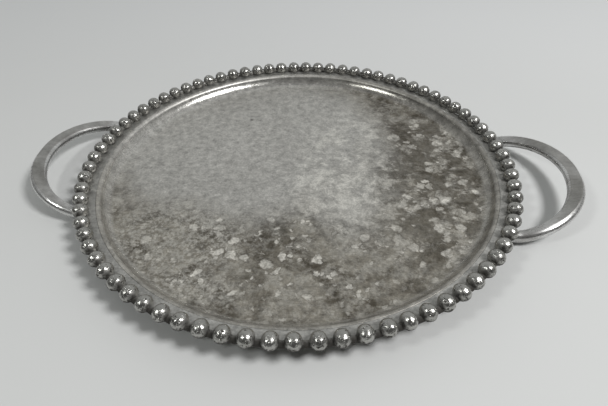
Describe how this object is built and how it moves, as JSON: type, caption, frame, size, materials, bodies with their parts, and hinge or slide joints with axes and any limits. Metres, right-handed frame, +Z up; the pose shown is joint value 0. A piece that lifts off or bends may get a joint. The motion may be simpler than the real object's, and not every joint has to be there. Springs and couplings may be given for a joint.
{
  "type": "round serving tray",
  "caption": "Round flat serving tray with a shallow dished floor, a beaded border and two loop handles for carrying.",
  "frame": {"origin": "middle of the flat underside, at the height of the table", "axes": "+Z up, +X along the line through both handles towards the right handle, +Y to the far side of the tray"},
  "size_m": [0.4404, 0.3511, 0.0241],
  "materials": {
    "dish_metal": "satin, tarnished",
    "band_metal": "satin",
    "bead_metal": "polished, darkened in the hollows",
    "handle_metal": "satin top, polished belly"
  },
  "bodies": {
    "root": {"dish": "dish_metal", "rim_band": "band_metal", "left_handle": "handle_metal", "right_handle": "handle_metal", "bead_run_01": "bead_metal", "bead_run_02": "bead_metal", "bead_run_03": "bead_metal", "bead_run_04": "bead_metal", "bead_run_05": "bead_metal", "bead_run_06": "bead_metal", "bead_run_07": "bead_metal", "bead_run_08": "bead_metal", "bead_run_09": "bead_metal", "bead_run_10": "bead_metal", "bead_run_11": "bead_metal", "bead_run_12": "bead_metal", "bead_run_13": "bead_metal", "bead_run_14": "bead_metal", "bead_run_15": "bead_metal", "bead_run_16": "bead_metal", "bead_run_17": "bead_metal", "bead_run_18": "bead_metal", "bead_run_19": "bead_metal", "bead_run_20": "bead_metal"}
  },
  "joints": []
}
